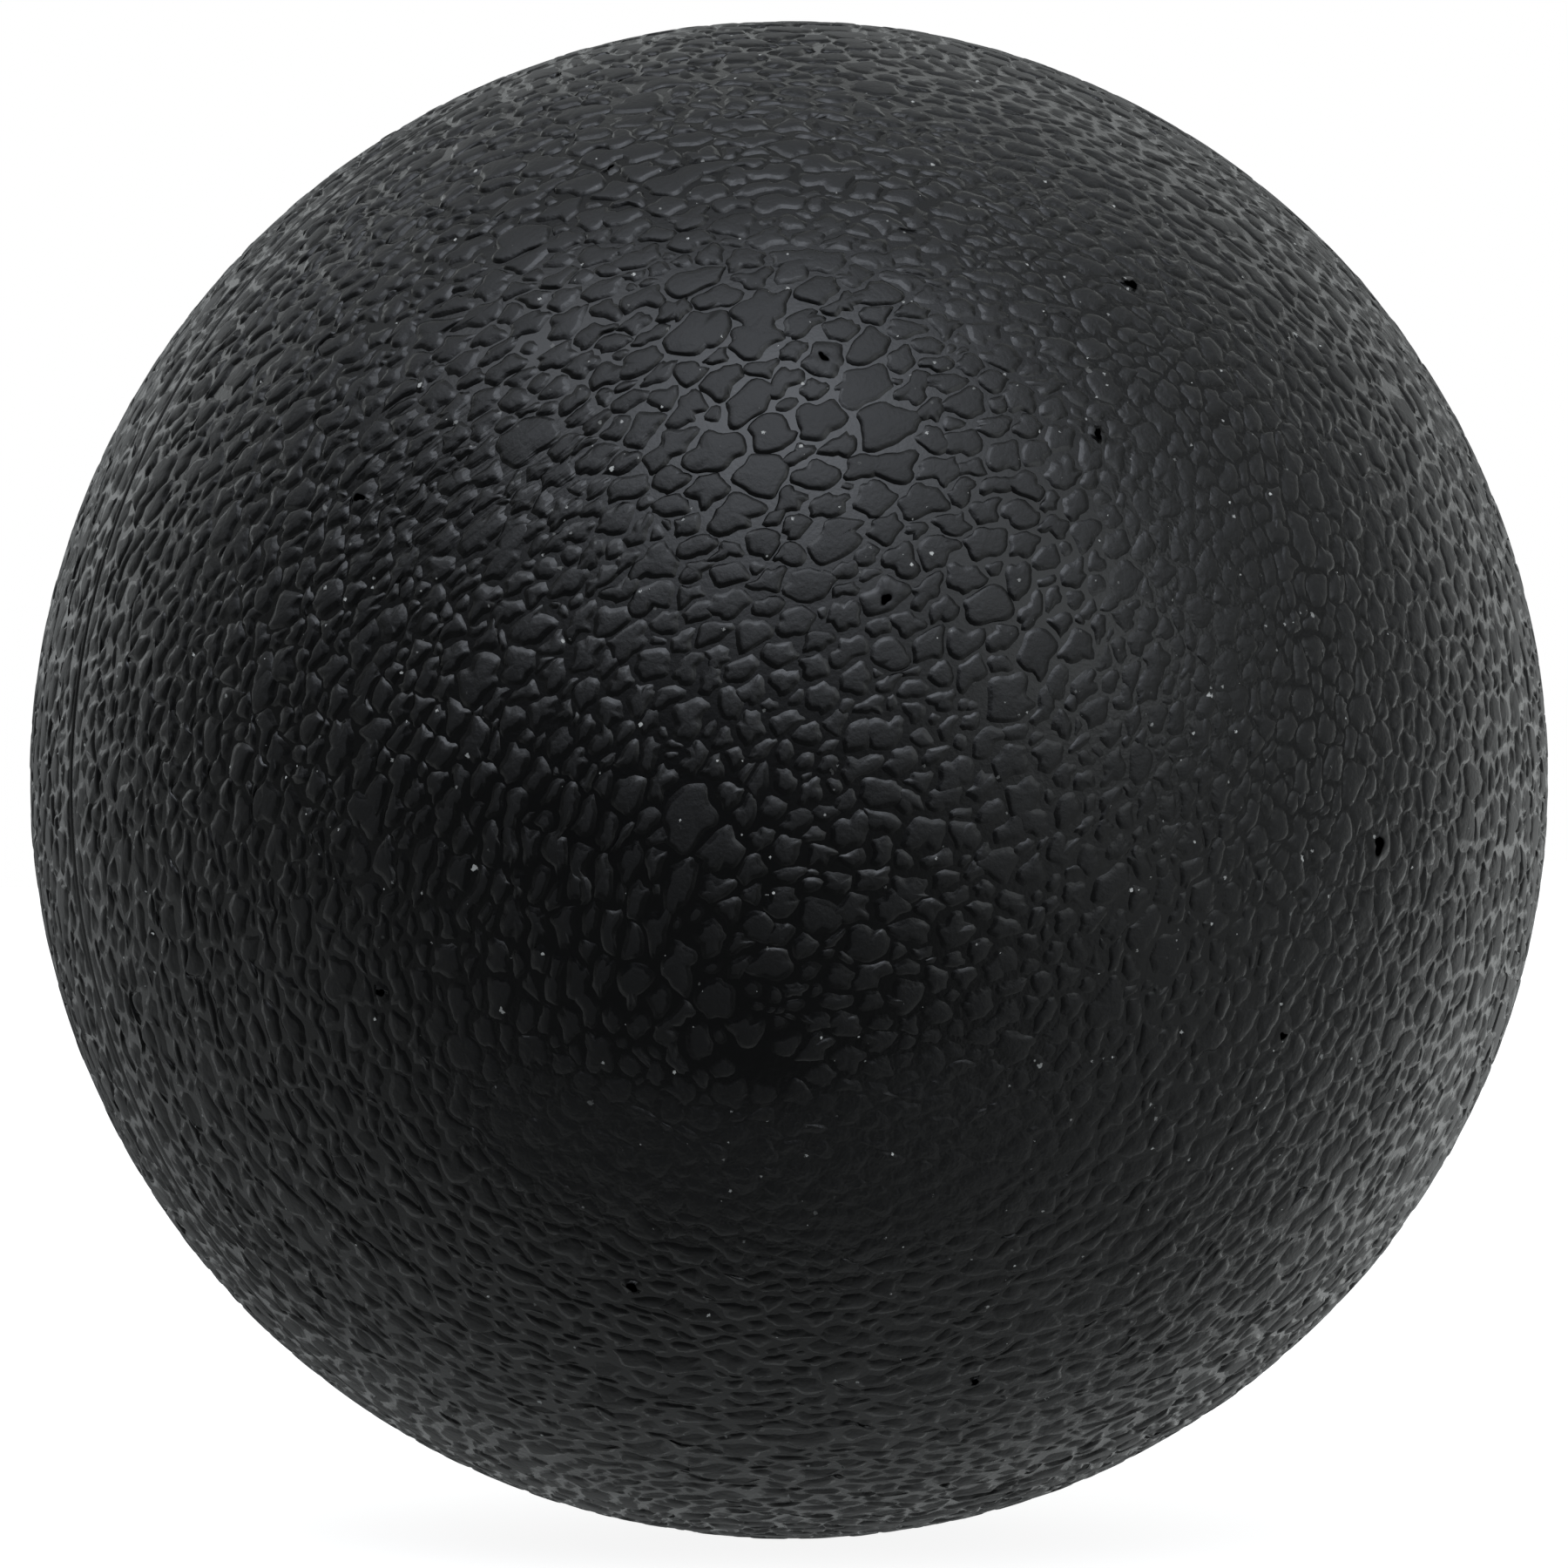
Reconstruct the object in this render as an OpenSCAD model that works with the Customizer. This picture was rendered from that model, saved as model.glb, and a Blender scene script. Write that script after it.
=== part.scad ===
// Lacrosse ball, built up as it is moulded: a solid rubber core, and two grained
// rubber half covers bonded round it that meet at the mould's parting line.
// The origin is the centre of the ball and +Z is up. The two halves close along Y,
// so the parting line is the ring round the ball in the XZ plane.

/* [Ball] */
// Diameter over the tops of the grain
ball_d = 63.5; // [58:0.1:72]

/* [Covers] */
// Thickness of a half cover, from the core's side to the tops of the grain
cover_wall = 3.2; // [1.5:0.1:8]
// Thickness of the bonding film between the core and a cover
bond_film = 0.05; // [0.02:0.01:0.2]

/* [Parting line] */
// Width of the smooth land beside the parting line, on each cover
land_w = 0.9; // [0.5:0.1:3]
// How far the land lies below the tops of the grain, which is the grain's own depth
land_drop = 0.15; // [0.05:0.01:0.4]
// Width of the witness groove at the parting line, over both covers
groove_w = 0.5; // [0.2:0.05:0.9]
// Depth of the witness groove below the land
groove_depth = 0.2; // [0.05:0.01:0.6]

/* [Smoothness] */
// Segments in a full circle of the preview
segments = 180; // [48:12:360]

/* [Hidden] */
$fn = segments;
// How far a cutting shape runs past what it cuts
overrun = 1;
ball_r = ball_d / 2;
cover_inner_r = ball_r - cover_wall;
core_r = cover_inner_r - bond_film;
land_r = ball_r - land_drop;
// Where the land ends on its own circle, and its ramp up to the grain begins
land_end_x = sqrt(land_r * land_r - land_w * land_w);
groove_half = groove_w / 2;
groove_end_x = sqrt(land_r * land_r - groove_half * groove_half);
outside = ball_r + overrun;
core_colour = [0.10, 0.10, 0.10];
cover_colour = [0.05, 0.05, 0.055];

// One quarter of a ring between two circles, above the parting plane
module quarter_ring(inner_r, outer_r) {
    difference() {
        intersection() {
            circle(r = outer_r);
            square([outer_r + overrun, outer_r + overrun]);
        }
        circle(r = inner_r);
    }
}

// What is cut away over the land: everything outside the land's circle, up to a
// 45 degree ramp that climbs to the tops of the grain
module land_cut() {
    rise = outside - land_end_x;
    difference() {
        polygon([
            [0, -overrun],
            [outside, -overrun],
            [outside, land_w + rise],
            [land_end_x, land_w],
            [0, land_w]
        ]);
        circle(r = land_r);
    }
}

// The cover's half of the V-shaped witness groove
module groove_cut() {
    polygon([
        [land_r - groove_depth, -overrun],
        [outside, -overrun],
        [outside, groove_half],
        [groove_end_x, groove_half],
        [land_r - groove_depth, 0]
    ]);
}

// Half cover in its own frame, standing on the parting plane with its pole up
module half_cover() {
    rotate_extrude() difference() {
        quarter_ring(cover_inner_r, ball_r);
        land_cut();
        groove_cut();
    }
}

// Solid core of pressed rubber
module core() {
    color(core_colour) sphere(r = core_r);
}

// Half cover on the front, -Y side
module cover_front() {
    color(cover_colour) rotate([90, 0, 0]) half_cover();
}

// Half cover on the back, +Y side
module cover_back() {
    color(cover_colour) rotate([-90, 0, 0]) half_cover();
}

core();
cover_front();
cover_back();
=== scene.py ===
# %% [markdown]
# # A lacrosse ball with a moulded grain
# The ball is solid black rubber: a pressed core with two grained half covers bonded
# round it. The covers meet at the mould's parting line, the ring where Y is zero.
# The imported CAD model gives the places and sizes. Here the two smooth CAD covers are
# replaced by covers that carry the real, pebbled grain as geometry, and everything
# gets its finish. Lengths in the frame are metres, and the grain is written in
# millimetres, because that is how a mould maker would measure it.

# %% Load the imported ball
import math

import bpy
import numpy as np
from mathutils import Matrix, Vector


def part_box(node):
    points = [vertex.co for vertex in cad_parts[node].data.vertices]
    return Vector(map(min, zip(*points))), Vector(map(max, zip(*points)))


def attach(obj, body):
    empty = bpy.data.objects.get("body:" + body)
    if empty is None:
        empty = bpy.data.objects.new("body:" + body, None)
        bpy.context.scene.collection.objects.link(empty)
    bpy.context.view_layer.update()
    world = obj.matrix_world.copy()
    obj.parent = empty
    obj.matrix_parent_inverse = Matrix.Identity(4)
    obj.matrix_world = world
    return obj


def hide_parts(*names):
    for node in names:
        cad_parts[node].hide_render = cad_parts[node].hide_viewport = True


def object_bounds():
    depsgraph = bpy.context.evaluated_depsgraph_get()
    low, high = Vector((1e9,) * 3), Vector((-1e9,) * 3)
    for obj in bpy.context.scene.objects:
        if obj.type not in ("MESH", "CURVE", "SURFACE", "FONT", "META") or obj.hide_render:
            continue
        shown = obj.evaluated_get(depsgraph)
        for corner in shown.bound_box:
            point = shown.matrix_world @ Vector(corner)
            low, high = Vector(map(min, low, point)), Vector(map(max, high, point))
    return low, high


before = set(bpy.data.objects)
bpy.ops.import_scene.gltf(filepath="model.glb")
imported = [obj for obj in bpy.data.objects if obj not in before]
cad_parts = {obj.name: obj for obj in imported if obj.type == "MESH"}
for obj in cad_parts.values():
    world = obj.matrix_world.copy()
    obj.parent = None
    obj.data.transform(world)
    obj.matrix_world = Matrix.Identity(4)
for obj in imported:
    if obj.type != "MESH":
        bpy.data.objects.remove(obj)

MM = 0.001
cad_low, cad_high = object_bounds()
core_low, core_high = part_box("core")
BALL_R = (cad_high.y - cad_low.y) / 2 / MM
CORE_R = (core_high.z - core_low.z) / 2 / MM
print(f"ball radius {BALL_R:.3f} mm, core radius {CORE_R:.3f} mm")

# %% [markdown]
# ## Where the photograph is taken from
# The camera stands a little above the ball's middle and 22 degrees round from the
# mould's axis. No parting line can be made out in the photograph, so this turn is a
# guess that brings the line near the left edge. Places read off the photograph are
# pixels of its 1800 by 1800 frame, and one function turns a pixel into a direction from
# the ball's centre.

# %% Camera directions and pixels
PHOTO_SIDE_PX = 1800
BALL_CENTRE_PX = (905.6, 895.0)
BALL_RADIUS_PX = 873.1
CAMERA_AZIMUTH = math.radians(-22)
CAMERA_ELEVATION = math.radians(2)
CAMERA_DISTANCE = 0.5

TOWARDS_CAMERA = np.array([
    math.sin(CAMERA_AZIMUTH) * math.cos(CAMERA_ELEVATION),
    -math.cos(CAMERA_AZIMUTH) * math.cos(CAMERA_ELEVATION),
    math.sin(CAMERA_ELEVATION),
])
CAMERA_RIGHT = np.array([math.cos(CAMERA_AZIMUTH), math.sin(CAMERA_AZIMUTH), 0.0])
CAMERA_UP = np.cross(TOWARDS_CAMERA, CAMERA_RIGHT)


def unit(vectors):
    """Each vector divided by its length."""
    return vectors / np.linalg.norm(vectors, axis=-1, keepdims=True)


def pixel_direction(x, y):
    """Direction from the ball's centre to what the photograph shows at pixel (x, y):
    where the line of sight through the pixel first meets the ball. The slope of the
    line that just touches the ball is the ball's radius over that line's length."""
    radius = BALL_R * MM
    touching = radius / math.sqrt(CAMERA_DISTANCE ** 2 - radius ** 2)
    across = (x - BALL_CENTRE_PX[0]) / BALL_RADIUS_PX * touching
    above = (BALL_CENTRE_PX[1] - y) / BALL_RADIUS_PX * touching
    square = 1 + across * across + above * above
    inside_root = CAMERA_DISTANCE ** 2 - square * (CAMERA_DISTANCE ** 2 - radius ** 2)
    path = (CAMERA_DISTANCE - math.sqrt(max(0.0, inside_root))) / square
    return unit((CAMERA_DISTANCE - path) * TOWARDS_CAMERA
                + path * (across * CAMERA_RIGHT + above * CAMERA_UP))


# %% [markdown]
# ## How the grain runs
# A mould's leather grain isn't the same all over. It comes in patches a few
# millimetres wide, each with its own direction, pebble size and crispness. Each patch
# below says where it lies in the photograph, which way its pebbles lean (degrees from
# level, anticlockwise), how long they are for their width, their size against the
# mean, how crisp the relief is, and half the width of its channels in millimetres. In
# between, the patches blend smoothly. The sides that the photograph doesn't show get
# patches of the same kind, drawn at random.

# %% Patches of grain
GRAIN_PATCHES = [
    # pixel x, pixel y, lean, stretch, size, crispness, channel half
    (900, 450, 50, 1.40, 1.24, 1.15, 0.032),
    (1050, 520, 20, 1.30, 1.20, 1.15, 0.030),
    (1080, 640, 30, 1.30, 1.14, 0.95, 0.028),
    (800, 640, 10, 1.35, 1.08, 1.15, 0.024),
    (620, 300, 20, 1.60, 1.02, 1.30, 0.005),
    (640, 420, 35, 1.50, 0.94, 1.30, 0.000),
    (900, 190, 5, 1.50, 0.90, 1.20, 0.015),
    (780, 260, 15, 1.40, 1.08, 1.15, 0.025),
    (360, 480, 40, 1.50, 0.90, 1.25, -0.015),
    (400, 330, 35, 1.60, 0.88, 1.25, -0.015),
    (250, 700, 65, 1.50, 0.84, 1.10, -0.010),
    (480, 560, 45, 1.80, 0.84, 1.45, -0.020),
    (630, 545, 50, 1.90, 0.80, 1.45, -0.020),
    (560, 660, 35, 1.50, 0.82, 1.45, -0.015),
    (460, 800, 65, 1.45, 0.88, 1.30, 0.000),
    (700, 790, 50, 1.35, 0.90, 1.15, 0.010),
    (700, 1050, 85, 2.00, 0.88, 1.08, 0.045),
    (800, 900, 60, 1.40, 0.86, 0.82, 0.032),
    (560, 1000, 80, 1.90, 0.84, 0.95, 0.045),
    (950, 1060, 5, 1.25, 0.93, 0.80, 0.030),
    (1100, 1000, 5, 1.40, 0.90, 0.78, 0.028),
    (300, 1150, 80, 1.80, 0.82, 1.08, 0.020),
    (400, 1350, -60, 1.70, 0.80, 1.00, 0.020),
    (620, 1200, 85, 1.35, 0.84, 0.54, 0.040),
    (700, 1320, -30, 1.40, 0.78, 0.46, 0.040),
    (700, 1500, -20, 1.70, 0.78, 0.85, 0.045),
    (900, 1620, 0, 1.70, 0.80, 0.75, 0.045),
    (1100, 1520, 8, 1.60, 0.80, 0.68, 0.045),
    (1080, 1300, -5, 1.25, 0.82, 0.46, 0.045),
    (1300, 1370, 50, 1.60, 0.84, 0.65, -0.010),
    (1250, 1130, 80, 1.35, 0.86, 0.68, 0.045),
    (1500, 1180, 60, 1.40, 0.84, 0.68, -0.015),
    (1480, 880, 75, 1.40, 0.78, 0.68, 0.000),
    (1660, 850, 80, 1.25, 0.90, 0.70, -0.015),
    (1640, 620, 75, 1.25, 0.90, 0.72, -0.015),
    (1380, 760, 70, 1.30, 0.80, 0.60, 0.000),
    (1370, 580, 80, 1.40, 0.76, 0.60, 0.020),
    (1240, 340, 10, 1.40, 0.76, 0.62, 0.010),
    (1080, 220, 0, 1.50, 0.82, 0.80, 0.010),
    (1200, 180, 0, 1.80, 0.70, 0.60, 0.010),
    (1330, 230, -15, 1.50, 0.82, 0.75, 0.010),
    (1500, 380, -40, 1.50, 0.82, 0.75, -0.015),
    (1200, 850, 60, 1.35, 0.88, 0.72, 0.045),
]
PATCH_REACH = 0.17
AGREEMENT_GAIN = 1.3
FAR_PATCHES, PATCH_TRIALS = 60, 3
FAR_LOW = (0, 1.2, 0.95, 0.65, 0.03)
FAR_HIGH = (180, 1.7, 1.15, 1.0, 0.06)
OUT_OF_SIGHT = 0.1
GRAIN_SEED = 4


def tangent_axes(directions):
    """Two unit vectors square to each direction and to each other. The first is the
    cross product with the vertical, so it is level."""
    vertical = np.array([0.0, 0.0, 1.0])
    level = unit(np.cross(vertical, directions) + np.array([1e-9, 0.0, 0.0]))
    return level, np.cross(directions, level)


def far_patches():
    """Random patches for the sides away from the camera: directions spread over the
    sphere, kept where they face away, and a row of lean, stretch, size, crispness and
    channel half for each, between the low and the high ones."""
    random = np.random.default_rng(GRAIN_SEED)
    directions = unit(random.normal(size=(FAR_PATCHES * PATCH_TRIALS, 3)))
    directions = directions[directions @ TOWARDS_CAMERA < OUT_OF_SIGHT][:FAR_PATCHES]
    return directions, random.uniform(FAR_LOW, FAR_HIGH, (len(directions), 5))


def patch_table():
    """All patches as arrays: direction, angle of the flow in the patch's own tangent
    axes, and the rows of stretch, size, crispness and channel half."""
    near = np.array(GRAIN_PATCHES, float)
    directions = np.array([pixel_direction(x, y) for x, y in near[:, :2]])
    lean = np.radians(near[:, 2])
    flow = np.cos(lean)[:, None] * CAMERA_RIGHT + np.sin(lean)[:, None] * CAMERA_UP
    level, steep = tangent_axes(directions)
    angle = np.arctan2((flow * steep).sum(1), (flow * level).sum(1))
    far, rows = far_patches()
    return (np.concatenate([directions, far]),
            np.concatenate([angle, np.radians(rows[:, 0])]),
            np.concatenate([near[:, 3:], rows[:, 1:]]))


PATCH_DIRECTIONS, PATCH_ANGLES, PATCH_ROWS = patch_table()


def grain_at(directions):
    """Flow (unit tangent) and the row of stretch, size, crispness and channel half at
    each direction. Each is the mean of the patches', weighted by a bell curve of the
    distance, and the flow is averaged as a doubled angle, because a pebble has no
    front or back. Where patches disagree on it, the pebbles are less drawn out."""
    distance2 = 2 - 2 * directions @ PATCH_DIRECTIONS.T
    weights = np.exp(-distance2 / PATCH_REACH ** 2) + 1e-9
    weights /= weights.sum(1, keepdims=True)
    level, steep = tangent_axes(directions)
    sine, cosine = weights @ np.sin(2 * PATCH_ANGLES), weights @ np.cos(2 * PATCH_ANGLES)
    angle = 0.5 * np.arctan2(sine, cosine)
    flow = np.cos(angle)[:, None] * level + np.sin(angle)[:, None] * steep
    stretch, size, crisp, channel = (weights @ PATCH_ROWS).T
    agreement = np.minimum(AGREEMENT_GAIN * np.hypot(sine, cosine), 1)
    return flow, 1 + (stretch - 1) * agreement, size, crisp, channel


print("grain patches:", len(PATCH_ANGLES))

# %% [markdown]
# ## Pinholes
# Here and there the mould has left a small deep hole in a pebble. All pebbles wander a
# little later on, by the field that is set here, so each pinhole's pebble starts from
# where it will wander to the right place.

# %% Pinhole places
PINHOLES = [
    # pixel x, pixel y, size against the common one
    (700, 190, 1.0), (945, 408, 1.1), (1300, 325, 1.4), (1262, 497, 1.2),
    (1017, 688, 1.1), (1585, 970, 1.6), (1475, 1190, 1.1), (1120, 1590, 1.1),
    (435, 1140, 1.0), (725, 1480, 1.0), (1520, 280, 1.1), (410, 570, 1.0),
]
FAR_PINHOLES, PINHOLE_TRIALS = 12, 6
HOLES_OFF_LINE = 0.1
START_STEPS = 4
WARP_WAVES = 40
WARP_SHORTEST, WARP_LONGEST = 1.0, 3.2
WARP_MM = 0.19


def wander_move(directions):
    """The sideways move of each point, over the ball's radius. It is a smooth random
    field: a sum of sine waves of random direction, phase and wavelength."""
    random = np.random.default_rng(GRAIN_SEED + 4)
    way = unit(random.normal(size=(WARP_WAVES, 3)))
    shortest, longest = math.log(WARP_SHORTEST), math.log(WARP_LONGEST)
    length = np.exp(random.uniform(shortest, longest, WARP_WAVES))
    phase = random.uniform(0, 2 * math.pi, WARP_WAVES)
    lean = unit(random.normal(size=(WARP_WAVES, 3)))
    angle = directions @ (way * (2 * math.pi * BALL_R / length)[:, None]).T + phase
    return np.sin(angle) @ lean * (math.sqrt(2 / WARP_WAVES) * WARP_MM / BALL_R)


def pinhole_places():
    """Directions from which the pinholes wander to their places, and their sizes. A
    start is the goal less the move at the start, so it is found in a few rounds."""
    random = np.random.default_rng(GRAIN_SEED + 6)
    far = unit(random.normal(size=(FAR_PINHOLES * PINHOLE_TRIALS, 3)))
    hidden = far @ TOWARDS_CAMERA < -OUT_OF_SIGHT
    far = far[hidden & (np.abs(far[:, 1]) > HOLES_OFF_LINE)][:FAR_PINHOLES]
    goals = np.concatenate([[pixel_direction(x, y) for x, y, _ in PINHOLES], far])
    sizes = np.concatenate([[size for _, _, size in PINHOLES], np.ones(len(far))])
    starts = goals
    for _ in range(START_STEPS):
        starts = unit(goals - wander_move(starts))
    return starts, sizes


hole_places, hole_sizes = pinhole_places()
print("pinholes:", len(hole_sizes))

# %% [markdown]
# ## Where the pebbles sit
# Pebbles pack together like gravel of mixed sizes. So each one starts as a disc at a
# random place, and the discs then push each other apart a little at a time until they
# fill the ball evenly. They push as if they were slightly larger than they are, so no
# bare place is left. Distances are measured in a stretched metric that follows the
# grain, which is why the pebbles come out longer one way than the other. The middles
# of the discs keep off the parting line. Halfway through, the discs nearest to the
# pinholes move there, and stay.

# %% Distances between pebbles
GRAIN_FROM = 0.20
MIDDLE_CLEAR = 0.34
BLOCK_ROWS = 1500


def nearest(directions, count):
    """Indices of each point's nearest neighbours on the sphere, itself left out. The
    points are taken in blocks, because all pairs at once need too much memory."""
    points = directions.astype(np.float32)
    found = []
    for start in range(0, len(points), BLOCK_ROWS):
        closeness = points[start:start + BLOCK_ROWS] @ points.T
        rows = np.arange(len(closeness))
        closeness[rows, start + rows] = -2
        found.append(np.argpartition(-closeness, count, axis=1)[:, :count])
    return np.concatenate(found)


def flat_offsets(directions, others, flow, stretch):
    """Offsets in millimetres from each pebble to a row of others, in axes along and
    across its flow, in the stretched metric: shortened along the flow by the root of
    the stretch and lengthened across it by the same."""
    across = np.cross(directions, flow)[:, None]
    offset = (directions[others] - directions[:, None]) * BALL_R
    root = np.sqrt(stretch)[:, None]
    return (offset * flow[:, None]).sum(2) / root, (offset * across).sum(2) * root


def keep_off_line(directions):
    """Directions kept some way from the parting line, each on its own side of it."""
    nearest_y = (GRAIN_FROM + MIDDLE_CLEAR) / BALL_R
    y = directions[:, 1]
    moved = directions.copy()
    moved[:, 1] = np.where(y < 0, -1.0, 1.0) * np.maximum(np.abs(y), nearest_y)
    return unit(moved)


def stretched(offset, flow, stretch):
    """Length of offsets in the stretched metric: the root of the stretch times the
    square of what is across the flow, plus the square of what is along it over it."""
    square = (offset * offset).sum(-1)
    along = (offset * flow).sum(-1)
    return np.sqrt(stretch * square - (stretch - 1 / stretch) * along ** 2)


# %% Pack the pebbles
PEBBLE_COUNT = 9500
TRIALS_EACH = 8
PACKING = 0.88
CROWDING = 1.09
SMALL_SHARE, SMALL_SIZE, SIZE_SPREAD = 0.18, 0.50, 0.22
PACKING_STEPS = 44
PUSH, LONGEST_MOVE = 0.45, 0.35
NEIGHBOURS, NEIGHBOURS_LAST = 15, 5
HOLES_AT_STEP = 20
HOLE_RADIUS = 0.42


def pack_pebbles():
    """Directions and radii (mm, in the stretched metric) of all pebbles on the ball, and
    the size of each one's pinhole, 0 for most. Two discs that overlap move apart along
    the line between them, both by the same share of it, so nothing drifts."""
    random = np.random.default_rng(GRAIN_SEED + 1)
    trial = unit(random.normal(size=(PEBBLE_COUNT * TRIALS_EACH, 3)))
    size = grain_at(trial)[2]
    kept = random.random(len(trial)) < (size.min() / size) ** 2
    directions = trial[kept][:PEBBLE_COUNT]
    count = len(directions)
    spread = np.exp(random.normal(0, SIZE_SPREAD, count))
    spread[random.random(count) < SMALL_SHARE] *= SMALL_SIZE
    holes = np.zeros(count)
    for step in range(PACKING_STEPS):
        if step == HOLES_AT_STEP:
            chosen = (hole_places @ directions.T).argmax(1)
            holes[chosen] = hole_sizes
        if step % NEIGHBOURS_LAST == 0:
            near = nearest(directions, NEIGHBOURS)
        flow, stretch, size, _, _ = grain_at(directions)
        radii = spread * size
        radii *= BALL_R * math.sqrt(4 * PACKING / (radii ** 2).sum())
        radii = np.maximum(radii, HOLE_RADIUS * holes)
        offset = (directions[near] - directions[:, None]) * BALL_R
        apart = (stretched(offset, flow[:, None], stretch[:, None])
                 + stretched(offset, flow[near], stretch[near])) / 2 + 1e-6
        overlap = np.clip(CROWDING * (radii[:, None] + radii[near]) / apart - 1, 0, 2)
        move = -PUSH * (overlap[:, :, None] * offset).sum(1)
        length = np.linalg.norm(move, axis=1) + 1e-9
        move *= np.minimum(1, LONGEST_MOVE * radii / length)[:, None]
        directions = keep_off_line(unit(directions * BALL_R + move))
        if step >= HOLES_AT_STEP:
            directions[chosen] = hole_places
    return directions, radii, holes


pebble_directions, pebble_radii, pinhole_size = pack_pebbles()
print("pebbles:", len(pebble_radii), "mean radius mm", round(float(pebble_radii.mean()), 3))

# %% [markdown]
# ## Which pebbles have grown together
# Some pebbles are joined, which gives the kidneys, hooks and worms that the photograph
# shows. A few are leaders, and some of the others join their best partner if that is a
# leader. The best partner is the one that is closest, for preference along the flow.

# %% Join pebbles
LEADER_SHARE = 0.36
JOIN_SHARE = 0.85
BESIDE_COST = 0.45


def join_pebbles(near, along, beside, radii, side, single):
    """For each pebble the leader of its group, itself if alone. Single ones stay alone,
    and no two pebbles join whose side values differ in sign."""
    random = np.random.default_rng(GRAIN_SEED + 2)
    count = len(near)
    everyone = np.arange(count)
    leads = (random.random(count) < LEADER_SHARE) & ~single
    apart = np.hypot(along, beside)
    slack = apart - radii[:, None] - radii[near] + BESIDE_COST * np.abs(beside) / apart
    partner = near[everyone, slack.argmin(1)]
    joins = ~leads & leads[partner] & (random.random(count) < JOIN_SHARE) & ~single
    joins &= side * side[partner] > 0
    return np.where(joins, partner, everyone)


# %% [markdown]
# ## The outline of a pebble
# A pebble fills the room that its neighbours leave, less half the width of the channel
# between them, with its corners rounded. Seen from its middle, each neighbour is a
# straight wall at some distance, and the outline's radius in any direction is the
# walls' distances combined by a high power, which rounds the corners. Two joined
# pebbles have no wall between them, so each grows into the other. A disc that has
# hardly any room between its neighbours is left out.

# %% Walls round a pebble
FAR_AWAY = 50.0


def smoothstep(low, high, x):
    """0 below low, 1 above high, and an S curve in between."""
    t = np.clip((x - low) / (high - low), 0, 1)
    return t * t * (3 - 2 * t)


def walls_between(along, beside, radii, near, group, stretch, channel):
    """Facing angle and distance of the walls round each pebble, in its own stretched
    metric. The wall between two discs lies where their powers are equal: half the
    distance, plus the difference of the squared radii over twice the distance."""
    apart = np.hypot(along, beside) + 1e-6
    x, y = along / apart, beside / apart
    distance = apart / 2 + (radii[:, None] ** 2 - radii[near] ** 2) / (2 * apart)
    a = stretch[:, None]
    distance -= channel[:, None] * np.sqrt(x * x / a + y * y * a)
    joined = group[near] == group[:, None]
    return np.arctan2(y, x), np.where(joined, FAR_AWAY, distance)


def land_wall(directions, flow, stretch):
    """The line where the grain begins as one more wall of each pebble: its facing angle
    and distance in the pebble's stretched metric, and the true distance in mm."""
    towards = -np.sign(directions[:, 1])
    away = np.arcsin(np.abs(directions[:, 1])) * BALL_R - GRAIN_FROM
    x = towards * flow[:, 1] * np.sqrt(stretch)
    y = towards * np.cross(directions, flow)[:, 1] / np.sqrt(stretch)
    reach = np.hypot(x, y) + 1e-9
    level = np.sqrt(1 - directions[:, 1] ** 2)
    return np.arctan2(y, x), away * level / reach, away


# %% Draw the outlines
CORNER_POWER = 9.0
BULGE = 1.45
LEAST_WALL, TIGHTEST = 0.1, 0.06
OUTLINE_ANGLES = 96
SMOOTHINGS = 3
OUTLINE_DENT = 0.25
DENT_WAVES = (2, 3, 4, 5, 6, 8)
DENT_ROOM = (0.15, 0.5)
DENT_MEAN, DENT_SWING = 0.12, 0.6
DENT_LIMITS = (-0.35, 1.5)


def dents(angles, room, random):
    """Small dents of an outline: one minus a share of a sum of waves that run two to
    eight times round, each with a random height and phase. Small pebbles, with little
    room between their walls, get shallower ones."""
    sum_of = np.zeros_like(angles)
    for times in DENT_WAVES:
        height = random.uniform(0, 1, (len(angles), 1)) * min(1, 4 / times)
        phase = random.uniform(0, 2 * math.pi, (len(angles), 1))
        sum_of += height * np.cos(times * angles + phase)
    depth = OUTLINE_DENT * smoothstep(*DENT_ROOM, room)[:, None]
    return 1 - depth * np.clip(DENT_MEAN + DENT_SWING * sum_of, *DENT_LIMITS)


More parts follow.
